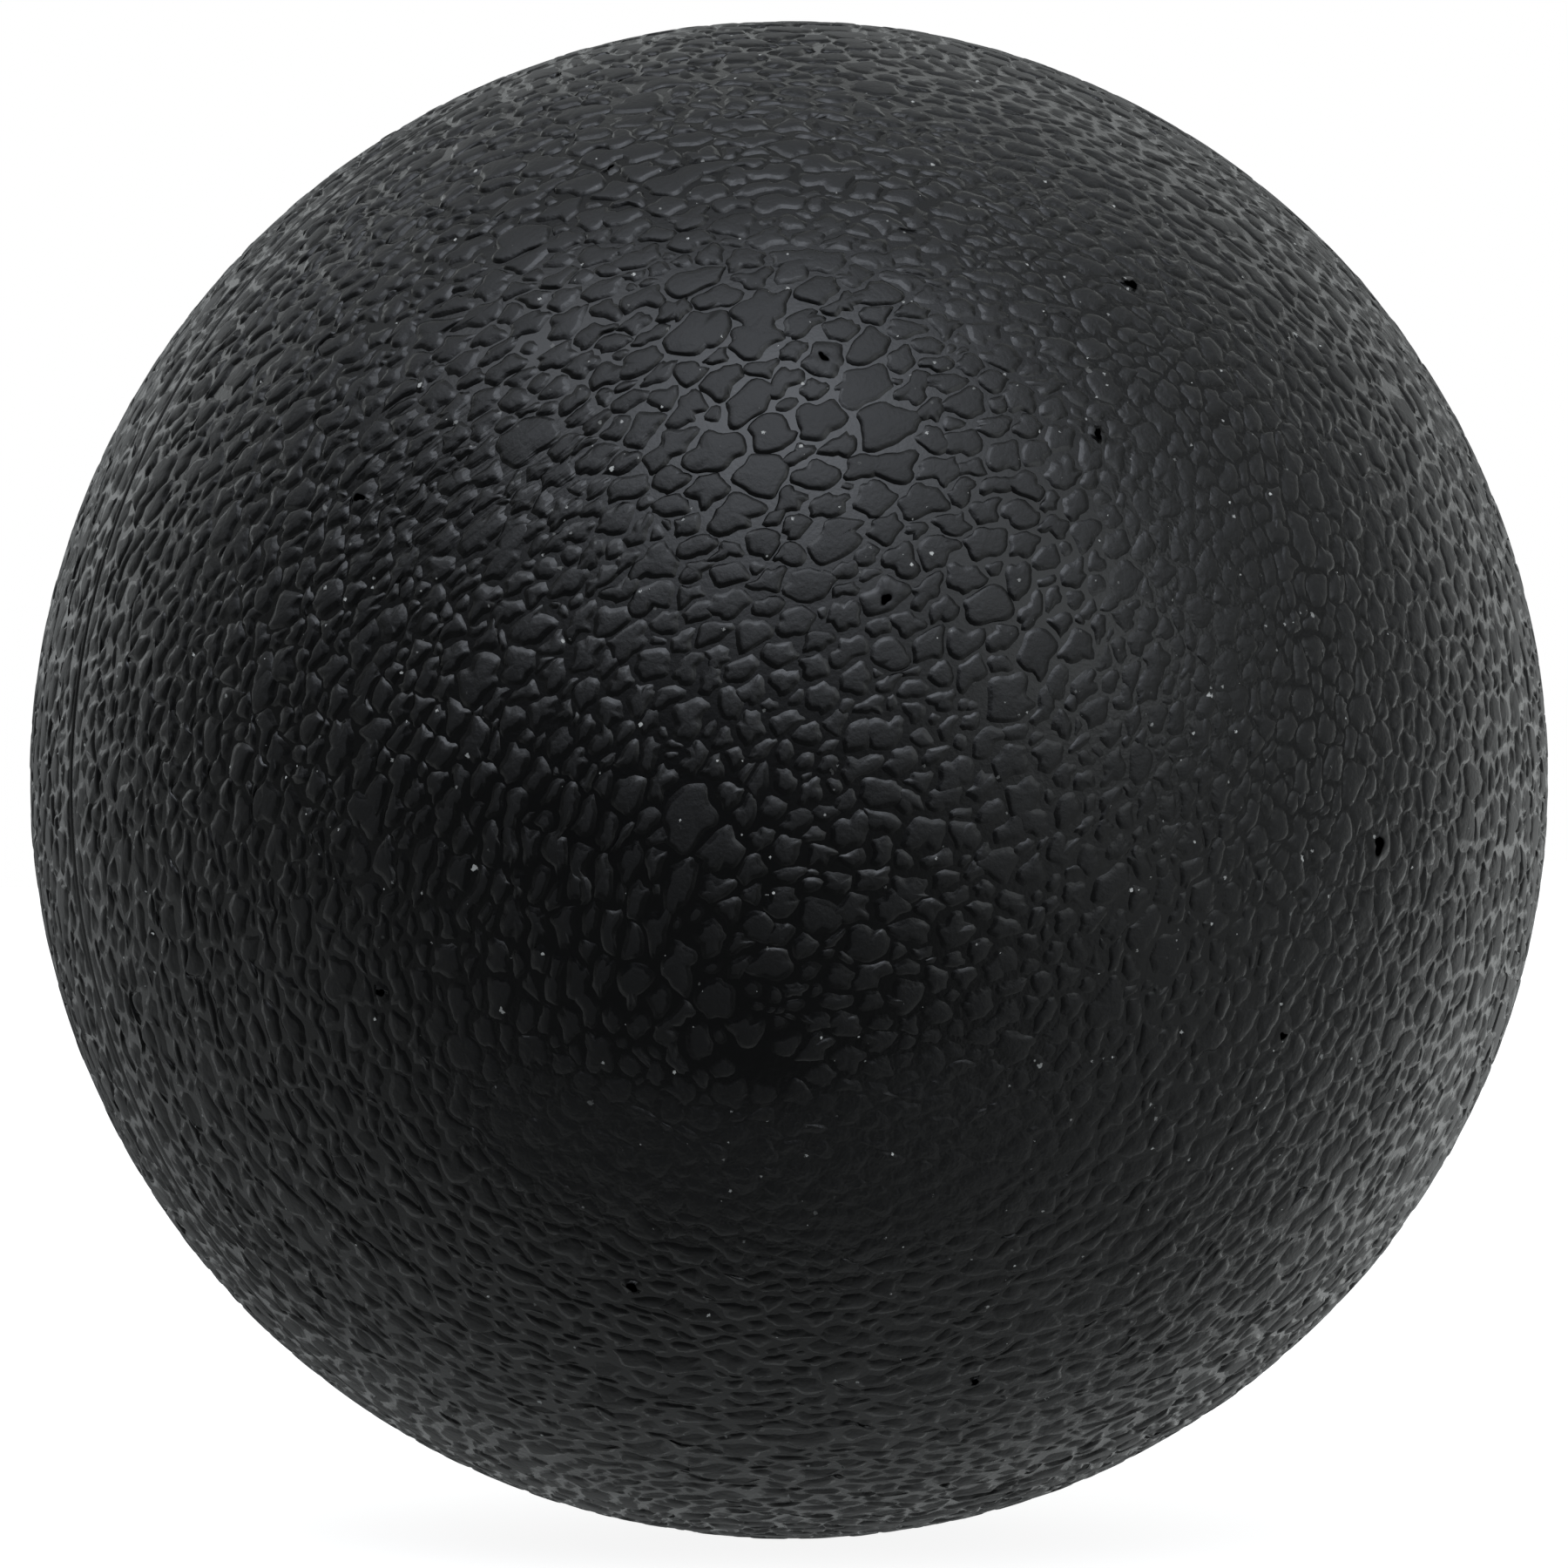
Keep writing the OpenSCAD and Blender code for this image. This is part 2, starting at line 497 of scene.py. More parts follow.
def draw_outlines(directions, radii, grain, kept):
    """The group of each pebble, the pebbles that stand, and their closed outlines at
    many angles, as true tangent offsets in mm. The kept ones stand in any case."""
    flow, stretch, _, _, channel = grain
    near = nearest(directions, NEIGHBOURS)
    along, beside = flat_offsets(directions, near, flow, stretch)
    group = join_pebbles(near, along, beside, radii, directions[:, 1], kept)
    angle, distance = walls_between(along, beside, radii, near, group, stretch, channel)
    stands = np.flatnonzero((distance.min(1) > TIGHTEST) | kept)
    land_angle, land_distance, _ = land_wall(directions, flow, stretch)
    angle = np.concatenate([angle, land_angle[:, None]], 1)[stands]
    distance = np.concatenate([distance, land_distance[:, None]], 1)[stands]
    distance = np.maximum(distance, LEAST_WALL)
    random = np.random.default_rng(GRAIN_SEED + 3)
    turn = np.arange(OUTLINE_ANGLES) * 2 * math.pi / OUTLINE_ANGLES
    turn = turn + random.uniform(0, 2 * math.pi, (len(stands), 1))
    total = (BULGE * radii[stands, None]) ** -CORNER_POWER * np.ones_like(turn)
    for k in range(angle.shape[1]):
        facing = np.clip(np.cos(turn - angle[:, k:k + 1]), 0, None)
        total += (facing / distance[:, k:k + 1]) ** CORNER_POWER
    reach = total ** (-1 / CORNER_POWER) * dents(turn, radii[stands], random)
    for _ in range(SMOOTHINGS):
        reach = (np.roll(reach, 1, 1) + 2 * reach + np.roll(reach, -1, 1)) / 4
    root = np.sqrt(stretch)[stands][:, None]
    return group, stands, reach * np.cos(turn) * root, reach * np.sin(turn) / root


grain = grain_at(pebble_directions)
pebble_group, standing, outline_x, outline_y = draw_outlines(
    pebble_directions, pebble_radii, grain, pinhole_size > 0)
print("pebbles that stand:", len(standing))

# %% [markdown]
# ## The body of a pebble
# A fine displacement of one big mesh could make this grain, but its steep sides would
# need far more triangles than fit here. So the channels are a smooth floor, and each
# pebble is a small closed body that stands in it: a ring of points at its foot, just
# under the floor, the same ring drawn in and raised at its shoulder, once more at the
# edge of its top, and a point in the middle. Points are evenly spaced along the outline.
# Where the grain is coarse the pebbles are flat on top, and elsewhere they are domed.
# Over a pinhole the edge of the top becomes the edge of a deep hole.

# %% Rings of points


def even_ring(columns, size):
    """Columns of values along closed outlines, resampled at even steps of length by
    linear interpolation. The first two columns are x and y."""
    closed = [np.concatenate([v, v[:, :1]], 1) for v in columns]
    steps = np.hypot(np.diff(closed[0], axis=1), np.diff(closed[1], axis=1))
    along = np.concatenate([np.zeros((len(steps), 1)), np.cumsum(steps, 1)], 1)
    wanted = along[:, -1:] * np.arange(size) / size
    index = (along[:, None, :] <= wanted[:, :, None]).sum(2) - 1
    rows = np.arange(len(steps))[:, None]
    part = (wanted - along[rows, index]) / np.maximum(steps[rows, index], 1e-9)
    return [v[rows, index] * (1 - part) + v[rows, index + 1] * part for v in closed]


def drawn_in(x, y, run, most):
    """The share of its offset by which each outline point moves towards the middle, so
    that the ring's side is as wide as the run: the run over the distance from the
    middle to the outline's tangent line there, limited, and smoothed a little."""
    tangent_x = np.roll(x, -1, 1) - np.roll(x, 1, 1)
    tangent_y = np.roll(y, -1, 1) - np.roll(y, 1, 1)
    to_line = np.abs(x * tangent_y - y * tangent_x) / np.hypot(tangent_x, tangent_y)
    share = np.minimum(run / np.maximum(to_line, 1e-3), most)
    for _ in range(SMOOTHINGS):
        share = (np.roll(share, 1, 1) + share + np.roll(share, -1, 1)) / 3
    return share


# %% Heights and places
GRAIN_DEPTH = 0.15
TOP_CLEAR = 0.02
LEAST_RISE = 0.65
WEAK_RISE = (0.3, 0.7)
SMALL_RISE, FULL_RISE_SIZE = 0.5, 0.55
LINE_RISE, LINE_REACH = (0.55, 0.45), (0.1, 1.6)
DEEPEST, SINK_REACH = 0.10, (0.3, 1.8)


def pebble_rise(radii, crisp, land_away, random):
    """Height of each pebble's top over the floor in mm: a random share of the depth,
    less where the grain is weak, on small pebbles and near the parting line."""
    rise = (GRAIN_DEPTH - TOP_CLEAR) * random.uniform(LEAST_RISE, 1.0, len(radii))
    crisp_share = np.clip(WEAK_RISE[0] + WEAK_RISE[1] * crisp, 0, 1)
    rise *= crisp_share * np.clip(radii / FULL_RISE_SIZE, SMALL_RISE, 1)
    return rise * (LINE_RISE[0] + LINE_RISE[1] * smoothstep(*LINE_REACH, land_away))


def channel_sink(crisp, land_away):
    """How far in mm the channels go below the common floor, where the grain is at its
    strongest."""
    return DEEPEST * np.clip(crisp - 1, 0, 0.5) * smoothstep(*SINK_REACH, land_away)


def placed(directions, flow, owner, x, y):
    """Directions of points at true tangent offsets x and y of each owner's middle."""
    across = np.cross(directions, flow)
    place = (directions[owner][:, None] * BALL_R + x[:, :, None] * flow[owner][:, None]
             + y[:, :, None] * across[owner][:, None])
    return unit(place)


# %% Triangles between rings


def band(low, high, n):
    """Triangles between two rings of n points, given the first point of each."""
    k = np.arange(n)
    m = (k + 1) % n
    return np.concatenate([np.stack([low + k, low + m, high + m], 1),
                           np.stack([low + k, high + m, high + k], 1)])


def cap(ring, tip, n):
    """Triangles from each side of a ring of n points to one point."""
    k = np.arange(n)
    return np.stack([ring + k, ring + (k + 1) % n, np.full(n, tip)], 1)


def pebble_faces(n):
    """Triangles of one pebble with n points to a ring. Its points are the rings of the
    foot, the shoulder and the top's edge, the top's middle, and one point under it."""
    return np.concatenate([band(0, n, n), band(n, 2 * n, n), cap(2 * n, 3 * n, n),
                           cap(0, 3 * n + 1, n)[:, [1, 0, 2]]])


# %% Whole pebbles
FOOT_UNDER = 0.015
DOMED_SIDE, FLAT_SIDE = 0.20, 0.13
DOMED_EDGE, FLAT_EDGE = 0.32, 0.25
MOST_SIDE_IN, MOST_EDGE_IN = 0.5, 0.74
SHOULDER_SHARES = (0.68, 0.82)
EDGE_SHARES = (0.86, 0.97)
DOMED_SIZE, FLAT_SIZE = 0.86, 1.08
MOST_TILT = 0.14
OUTLINE_STEP = 0.22
RING_SIZES = np.array([8, 10, 12, 14, 16, 18, 20, 22, 25, 28, 32, 36, 42, 50])
HOLE_RIM, HOLE_FLOOR, WIDEST_HOLE = 0.20, 0.01, 0.6
RIM_UNEVEN = (0.25, 0.18)
FOOT, SHOULDER, EDGE, TOP, UNDER = range(5)


def pebble_bodies(directions, radii, grain, group, stands, x, y, hole_size):
    """All pebbles, in batches with as many points each: owner, directions and heights
    of their points, what kind each point is, and the triangles of one pebble."""
    flow, stretch, size, crisp, _ = grain
    random = np.random.default_rng(GRAIN_SEED + 7)
    land_away = land_wall(directions, flow, stretch)[2]
    rise = pebble_rise(radii, crisp, land_away, random)[group]
    sink = channel_sink(crisp, land_away)
    alone = np.bincount(group, minlength=len(group))[group] == 1
    tilt = random.uniform(0, MOST_TILT, len(radii)) * alone
    tilt_angle = random.uniform(0, 2 * math.pi, len(radii))
    flat = smoothstep(DOMED_SIZE, FLAT_SIZE, size)
    flat_here = flat[stands][:, None]
    side = DOMED_SIDE + (FLAT_SIDE - DOMED_SIDE) * flat_here
    edge = DOMED_EDGE + (FLAT_EDGE - DOMED_EDGE) * flat_here
    shoulder_in = drawn_in(x, y, side, MOST_SIDE_IN)
    edge_in = drawn_in(x, y, edge, MOST_EDGE_IN)
    around = np.hypot(x - np.roll(x, 1, 1), y - np.roll(y, 1, 1)).sum(1)
    size_of = RING_SIZES[np.abs(around[:, None] / OUTLINE_STEP - RING_SIZES).argmin(1)]
    batches = []
    for n in np.unique(size_of):
        rows = np.flatnonzero(size_of == n)
        owner = stands[rows]
        ring_x, ring_y, inner, innermost = even_ring(
            [x[rows], y[rows], shoulder_in[rows], edge_in[rows]], n)
        hole = hole_size[owner][:, None]
        far = np.hypot(ring_x, ring_y)
        at_shoulder = 1 - inner
        angle = np.arctan2(ring_y, ring_x) - tilt_angle[owner][:, None]
        uneven = (1 + RIM_UNEVEN[0] * np.cos(2 * angle)
                  + RIM_UNEVEN[1] * np.cos(3 * angle + 1))
        rim = np.minimum(HOLE_RIM * hole * uneven / far, WIDEST_HOLE)
        at_edge = np.where(hole > 0, rim, 1 - innermost)
        slope = tilt[owner][:, None] * np.cos(angle)
        total, low = (rise + sink)[owner][:, None], -sink[owner][:, None]
        shares = [a + (b - a) * flat[owner][:, None] for a, b in (SHOULDER_SHARES, EDGE_SHARES)]
        shoulder_height = low + total * shares[0] * (1 + slope)
        edge_height = low + total * shares[1] * (1 + slope)
        top_height = np.where(hole > 0, HOLE_FLOOR, low + total)
        middle = np.zeros((len(rows), 2))
        all_x, all_y = (np.concatenate([v, v * at_shoulder, v * at_edge, middle], 1)
                        for v in (ring_x, ring_y))
        foot_height = np.repeat(low - FOOT_UNDER, n, 1)
        height = np.concatenate([foot_height, shoulder_height, edge_height, top_height,
                                 low - 2 * FOOT_UNDER], 1)
        kind = np.concatenate([np.repeat([FOOT, SHOULDER, EDGE], n), [TOP, UNDER]])
        batches.append((owner, placed(directions, flow, owner, all_x, all_y), height,
                        kind, pebble_faces(n)))
    return batches


# %% [markdown]
# ## Wander
# Real outlines aren't regular. All points move sideways by a smooth random field, a
# sum of sine waves a few millimetres long, so that outlines bend and channels widen
# and narrow together. The field dies away towards the parting line. The grain begins a
# set distance from that line, so what would lie nearer is pressed together there.

# %% Make the pebbles and move their points sideways
PRESSED_W = 0.15
CALM_W = 1.5


def wander(directions):
    """Directions after the sideways move."""
    away = np.abs(directions[:, 1]) * BALL_R - GRAIN_FROM
    calm = smoothstep(0.0, CALM_W, away)
    return unit(directions + wander_move(directions) * calm[:, None])


def pressed_off_line(directions, side):
    """Directions on the given side of the parting line, pressed together where the
    grain begins: what lies less than a set width from there, or past it, comes to lie
    at that width times e to the power of what is missing, and so nothing folds."""
    away = side * directions[:, 1] * BALL_R - GRAIN_FROM
    missing = np.minimum(away / PRESSED_W - 1, 0)
    pressed = np.where(away < PRESSED_W, PRESSED_W * np.exp(missing), away)
    moved = directions.copy()
    moved[:, 1] = side * (pressed + GRAIN_FROM) / BALL_R
    return unit(moved)


pebbles = pebble_bodies(pebble_directions, pebble_radii, grain, pebble_group, standing,
                        outline_x, outline_y, pinhole_size)
print("points on pebbles:", sum(height.size for _, _, height, _, _ in pebbles))

# %% [markdown]
# ## The floor of the grain
# Under the pebbles each half cover is one closed shell, turned on the mould's axis: the
# channels' floor from the pole to the smooth land beside the parting line, the witness
# groove, the flat lip, and the inside that lies on the core. Each piece also carries
# what the rubber reads later: where it is dull, dusty or scraped, and where the bottom
# of a pinhole gets painted shade.

# %% What each piece carries
WEAKEST, CRISPEST = 0.30, 0.85
DUST_PATCHES = [
    # pixel x, pixel y, reach of the patch, amount of dust
    (1400, 750, 0.35, 1.0), (1250, 420, 0.30, 0.9), (1000, 640, 0.25, 0.6),
    (700, 560, 0.25, 0.8), (480, 560, 0.20, 0.8), (1450, 1150, 0.30, 0.7),
    (900, 300, 0.35, 0.5), (350, 800, 0.30, 0.5), (1550, 450, 0.25, 0.7),
]
DUST_ELSEWHERE = 0.25
STREAK_PATCHES = [
    # pixel x, pixel y, reach of the patch, depth of the streaks
    (480, 560, 0.13, 1.0), (630, 530, 0.10, 0.9), (400, 640, 0.10, 0.6),
    (1170, 200, 0.12, 0.6), (1420, 1400, 0.15, 0.5),
]


def amount_at(directions, patches, elsewhere):
    """How much of something lies at each direction, from 0 to 1: the strongest of the
    bell curves round the patches, and a given amount everywhere else."""
    amount = np.full(len(directions), elsewhere)
    for x, y, reach, most in patches:
        distance2 = 2 - 2 * directions @ pixel_direction(x, y)
        amount = np.maximum(amount, most * np.exp(-distance2 / reach ** 2))
    return amount


def mesh_piece(name, points, faces, directions, sharp_points, masks, replaced):
    """A smooth shaded piece of points in millimetres and triangles, with the values
    that the material reads. Edges between two sharp points are sharp."""
    mesh = bpy.data.meshes.new(name)
    mesh.from_pydata(points * MM, [], faces, shade_flat=False)
    ends = np.empty(len(mesh.edges) * 2, np.int32)
    mesh.edges.foreach_get("vertices", ends)
    sharp = sharp_points[ends.reshape(-1, 2)].all(1)
    mesh.attributes.new("sharp_edge", "BOOLEAN", "EDGE").data.foreach_set("value", sharp)
    polish = smoothstep(WEAKEST, CRISPEST, grain_at(directions)[3])
    # The last mask marks the bottom of a pinhole, which the material paints with shade.
    top, tone, pit_shade = masks
    for label, values in (
        ("grain_top", 1 - (1 - top) * polish),
        ("weak_grain", 1 - polish),
        ("dust", amount_at(directions, DUST_PATCHES, DUST_ELSEWHERE)),
        ("streaks", amount_at(directions, STREAK_PATCHES, 0.0)),
        ("pebble_tone", tone),
        ("pit_shade", pit_shade),
    ):
        mesh.attributes.new(label, "FLOAT", "POINT").data.foreach_set("value", values)
    piece = bpy.data.objects.new(name, mesh)
    bpy.context.collection.objects.link(piece)
    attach(piece, "root")
    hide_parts(replaced)
    print(name, "triangles:", len(mesh.polygons))
    return piece


# %% The floor of each half
COLUMNS = 420
FLOOR_ROWS = 50
INSIDE_ROWS = 12
LAND_W, RAMP_W = 0.45, 0.25
GROOVE_HALF = 0.14
GROOVE_DEPTH = 0.12
BOND_FILM = 0.05


def shell_rows():
    """The half shell's outline as rows of height over the parting plane and radius from
    the ball's centre, in mm, from the outer pole round to the inner one. Poles left out."""
    floor = BALL_R - GRAIN_DEPTH
    first = math.asin((LAND_W + RAMP_W) / floor)
    rise = np.linspace(math.pi / 2, first, FLOOR_ROWS + 1)[1:]
    outer = [(math.sin(a) * floor, floor) for a in rise]
    land = [(LAND_W, floor), (GROOVE_HALF, floor), (0.0, floor - GROOVE_DEPTH)]
    inner = CORE_R + BOND_FILM
    inside = [(math.sin(a) * inner, inner)
              for a in np.linspace(0, math.pi / 2, INSIDE_ROWS + 1)[:-1]]
    return np.array(outer + land + inside), len(outer), len(outer) + len(land)


def half_shell(name, side, replaced):
    """The closed shell of one half cover, on the side of the parting line given by a
    sign. Each row is a ring of points round the axis, and rings are joined in turn."""
    rows, floor_rows, first_inside = shell_rows()
    turn = np.arange(COLUMNS) * 2 * math.pi / COLUMNS
    height, radius = rows[:, :1], rows[:, 1:]
    level = np.sqrt(radius ** 2 - height ** 2)
    rings = np.stack([level * np.cos(turn), np.repeat(side * height, COLUMNS, 1),
                      level * np.sin(turn)], 2)
    floor = unit(rings[:floor_rows].reshape(-1, 3))
    crisp = grain_at(floor)[3]
    away = np.abs(floor[:, 1]) * BALL_R - LAND_W
    sink = channel_sink(crisp, away).reshape(floor_rows, COLUMNS, 1)
    rings[:floor_rows] -= floor.reshape(floor_rows, COLUMNS, 3) * sink
    poles = np.array([[0.0, side * (BALL_R - GRAIN_DEPTH), 0.0],
                      [0.0, side * (CORE_R + BOND_FILM), 0.0]])
    points = np.concatenate([rings.reshape(-1, 3), poles])
    starts = np.arange(len(rows)) * COLUMNS
    faces = np.concatenate([
        *(band(low, low + COLUMNS, COLUMNS) for low in starts[:-1]),
        cap(0, len(points) - 2, COLUMNS)[:, ::-1],
        cap(starts[-1], len(points) - 1, COLUMNS)])
    a, b, c = (points[faces[:, j]] for j in range(3))
    if (a * np.cross(b, c)).sum() < 0:
        faces = faces[:, ::-1]
    row_of = np.concatenate([np.repeat(np.arange(len(rows)), COLUMNS), [-1, -1]])
    sharp = (row_of == first_inside - 1) | (row_of == first_inside)
    empty = np.zeros(len(points))
    return mesh_piece(name, points, faces, unit(points), sharp, (empty, empty + 0.5, empty),
                      replaced)


# %% The pebbles of each half
SECTORS = 4
TOP_MASK = np.array([0.0, 0.40, 1.0, 1.0, 0.0])
# Painted shade in a pinhole: 1 at the hole's bottom and less at its rim. The material paints it
# black and without gloss to stand for the hole's shade.
PIT_SHADE_MASK = np.array([0.0, 0.0, 0.55, 1.0, 0.0])


def half_pebbles(name, side, replaced):
    """The pebbles of one half, shared out over sectors round the mould's axis, so that
    no piece has too many triangles."""
    tones = np.random.default_rng(GRAIN_SEED + 5).random(len(pebble_radii))
    turn = np.arctan2(pebble_directions[:, 2], pebble_directions[:, 0]) / (2 * math.pi)
    sector_of = np.minimum((turn + 0.5) * SECTORS, SECTORS - 1).astype(int)
    pieces = []
    for sector in range(SECTORS):
        batches = []
        count = 0
        for owner, directions, height, kind, triangles in pebbles:
            here = (side * pebble_directions[owner, 1] > 0) & (sector_of[owner] == sector)
            if not here.any():
                continue
            many, each = int(here.sum()), len(kind)
            way = pressed_off_line(wander(directions[here].reshape(-1, 3)), side)
            start = count + each * np.arange(many)
            hole = pinhole_size[owner[here]] > 0
            batches.append((
                way * (BALL_R - GRAIN_DEPTH + height[here].reshape(-1, 1)),
                (triangles[None] + start[:, None, None]).reshape(-1, 3),
                way,
                np.tile(kind == FOOT, many),
                np.tile(TOP_MASK[kind], many),
                np.repeat(tones[pebble_group[owner[here]]], each),
                (hole[:, None] * PIT_SHADE_MASK[kind]).reshape(-1),
            ))
            count += many * each
        points, faces, ways, sharp, *masks = (np.concatenate(v) for v in zip(*batches))
        pieces.append(mesh_piece(f"{name}_{sector + 1}", points, faces, ways, sharp, masks,
                                 replaced))
    return pieces


cover_pieces = [half_shell("grained_cover_front", -1.0, "cover_front"),
                half_shell("grained_cover_back", 1.0, "cover_back"),
                *half_pebbles("pebbles_front", -1.0, "cover_front"),
                *half_pebbles("pebbles_back", 1.0, "cover_back")]

# %% [markdown]
# ## Rubber
# The rubber is nearly black and satin. The channels keep the mould's own polish, and
# the tops of the pebbles are a little duller where they are handled. A picture wrapped
# round the ball would blur from close by, so each piece carries values of its own, such
# as how near a point is to a pebble's top. One material reads them, and adds skin, dust
# and scrapes as noise in space. Helpers that make and feed a node in one call come first.

# %% Helpers for nodes


def new_material(name):
    """An empty node material, and its node tree."""
    material = bpy.data.materials.new(name)
    material.use_nodes = True
    material.node_tree.nodes.clear()
    return material, material.node_tree


def node(tree, kind, inputs=None, **settings):
    """The outputs of a new shader node of the given kind, with its settings. Each of
    its inputs gets a plain value or the socket that feeds it."""
    made = tree.nodes.new("ShaderNode" + kind)
    for name, value in settings.items():
        setattr(made, name, value)
    for name, value in (inputs or {}).items():
        if isinstance(value, bpy.types.NodeSocket):
            tree.links.new(value, made.inputs[name])
        else:
            made.inputs[name].default_value = value
    return made.outputs


def math_node(tree, operation, *values):
    """A number worked out from sockets or plain numbers."""
    return node(tree, "Math", dict(enumerate(values)), operation=operation)["Value"]


def along_axis(tree, where, axis):
    """Dot product of a place or a direction with a plain axis."""
    ends = {0: where, 1: tuple(axis)}
    return node(tree, "VectorMath", ends, operation="DOT_PRODUCT")["Value"]


def scaled(tree, colour, factor):
    """A plain colour times a changing factor."""
    sides = {0: colour, "Scale": factor}
    return node(tree, "VectorMath", sides, operation="SCALE")["Vector"]


def mixed_colours(tree, factor, first, second):
    """The first colour, going over to the second one as the factor goes to 1."""
    sides = {"Factor": factor, "A": first, "B": second}
    return node(tree, "Mix", sides, data_type="RGBA")["Result"]


def mixed_shaders(tree, factor, first, second):
    """The same for shaders."""
    return node(tree, "MixShader", {"Fac": factor, 1: first, 2: second})["Shader"]


def carried(tree, name):
    """A value that the piece carries."""
    return node(tree, "Attribute", attribute_name=name)["Fac"]


def noise(tree, where, per_metre, detail):
    """Noise of a given fineness, with values round a half."""
    settings = {"Vector": where, "Scale": per_metre, "Detail": detail}
    return node(tree, "TexNoise", settings)["Fac"]


def bumped(tree, depth, strength, height, **under):
    """The normal after relief of the given depth, over that of any relief under it."""
    relief = {"Distance": depth, "Strength": strength, "Height": height}
    return node(tree, "Bump", {**relief, **under})["Normal"]


# %% Skin and dust
CHANNEL_COLOUR = (0.0022, 0.0022, 0.0023, 1)
TOP_COLOUR = (0.0036, 0.0036, 0.0038, 1)
CORE_COLOUR = (0.012, 0.012, 0.012, 1)
PIT_SHADE_BLACK, WHITE = (0, 0, 0, 1), (1, 1, 1, 1)
RUBBER_IOR = 1.5
CHANNEL_ROUGH, TOP_ROUGH = 0.16, 0.44
ROUGH_FROM, ROUGH_TO = 0.34, 0.66
CLOUD_ROUGH, TONE_ROUGH = 0.10, 0.06
CORE_ROUGH, CORE_CLOUD = 0.55, 0.2
# Where a pinhole's bottom goes over to painted shade: black, with no gloss.
PIT_SHADE_FROM, PIT_SHADE_TO = 0.5, 0.64
SKIN_RELIEF = 0.00003
CORE_RELIEF = 3 * SKIN_RELIEF
SKIN_IN_CHANNELS, SKIN_MORE_ON_TOPS, SKIN_ON_CORE = 0.3, 0.5, 0.8
GRIT, SWELL, CLOUD, LUMP = (5500.0, 3.0), (1500.0, 2.0), (420.0, 4.0), (1900.0, 2.0)
DUST_COLOUR = (0.62, 0.62, 0.59, 1)
DUST_SHARE = 0.75
COARSE_DUST = (900.0, 0.13)
FINE_DUST = (2100.0, 0.17)
SPECK_EDGE, SPECK_RAGGED = 40.0, 9
SWELL_SHARE, LUMP_HEIGHT = 0.8, -4.0
FULL_GLOSS = 0.5
LUMP_RELIEF = 0.00005
STREAK_RELIEF = 0.0001


def skin_group():
    """The rubber's own skin, for all rubber pieces: fine relief in Height, slow changes
    of gloss in Cloud, and small lumps, sharp on top, in Lumps."""
    group = bpy.data.node_groups.new("rubber_skin", "ShaderNodeTree")
    where = node(group, "TexCoord")["Object"]
    swell, grit = noise(group, where, *SWELL), noise(group, where, *GRIT)
    fold = math_node(group, "SUBTRACT", noise(group, where, *LUMP), 0.5)
    fold = math_node(group, "ABSOLUTE", fold)
    results = {
        "Height": math_node(group, "MULTIPLY_ADD", swell, SWELL_SHARE, grit),
        "Cloud": noise(group, where, *CLOUD),
        "Lumps": math_node(group, "MULTIPLY", fold, LUMP_HEIGHT),
    }
    end = group.nodes.new("NodeGroupOutput")
    for name, value in results.items():
        group.interface.new_socket(name, in_out="OUTPUT", socket_type="NodeSocketFloat")
        group.links.new(value, end.inputs[name])
    return group


def specks(tree, where, cells_per_metre, biggest, amount):
    """Brightness of uneven specks, one to a Voronoi cell at most. A cell has one if its
    own random number is below the amount. The speck's radius is the biggest one times
    another random number and some noise, in cells. Its brightness is a third one squared."""
    cells = node(tree, "TexVoronoi", {"Vector": where, "Scale": cells_per_metre})
    draws = node(tree, "SeparateColor", {"Color": cells["Color"]})
    rough_edge = noise(tree, where, SPECK_RAGGED * cells_per_metre, 1.0)
    radius = math_node(tree, "MULTIPLY", draws["Red"], 2 * biggest)
    radius = math_node(tree, "MULTIPLY", radius, rough_edge)
    there = math_node(tree, "LESS_THAN", draws["Green"], amount)
    radius = math_node(tree, "MULTIPLY", radius, there)
    nearness = math_node(tree, "SUBTRACT", radius, cells["Distance"])
    inside = math_node(tree, "MULTIPLY", nearness, SPECK_EDGE)
    inside = node(tree, "Clamp", {"Value": inside})["Result"]
    bright = math_node(tree, "POWER", draws["Blue"], 2.0)
    return math_node(tree, "MULTIPLY", inside, bright)


# %% Scraped places
STREAK_LEAN = math.radians(38)
STREAK_NOISE = (4200.0, 2.0)
STREAK_LONG, STREAK_DEEP = 0.12, 0.3


def streak_height(tree, where):
    """Noise drawn out along one line of the photograph: the place is turned until the
    line is its first axis, and that axis is squeezed."""
    line = math.cos(STREAK_LEAN) * CAMERA_RIGHT + math.sin(STREAK_LEAN) * CAMERA_UP
    across = np.cross(TOWARDS_CAMERA, line)
    turned = node(tree, "CombineXYZ", {
        "X": along_axis(tree, where, line * STREAK_LONG),
        "Y": along_axis(tree, where, across),
        "Z": along_axis(tree, where, TOWARDS_CAMERA * STREAK_DEEP)})
    return noise(tree, turned["Vector"], *STREAK_NOISE)


# %% The two rubbers


def rubber_shader(tree, inputs):
    """The shader of a rubber, fed by the given inputs, and the material's output."""
    shader = node(tree, "BsdfPrincipled", {"IOR": RUBBER_IOR, **inputs})
    node(tree, "OutputMaterial", {"Surface": shader["BSDF"]})


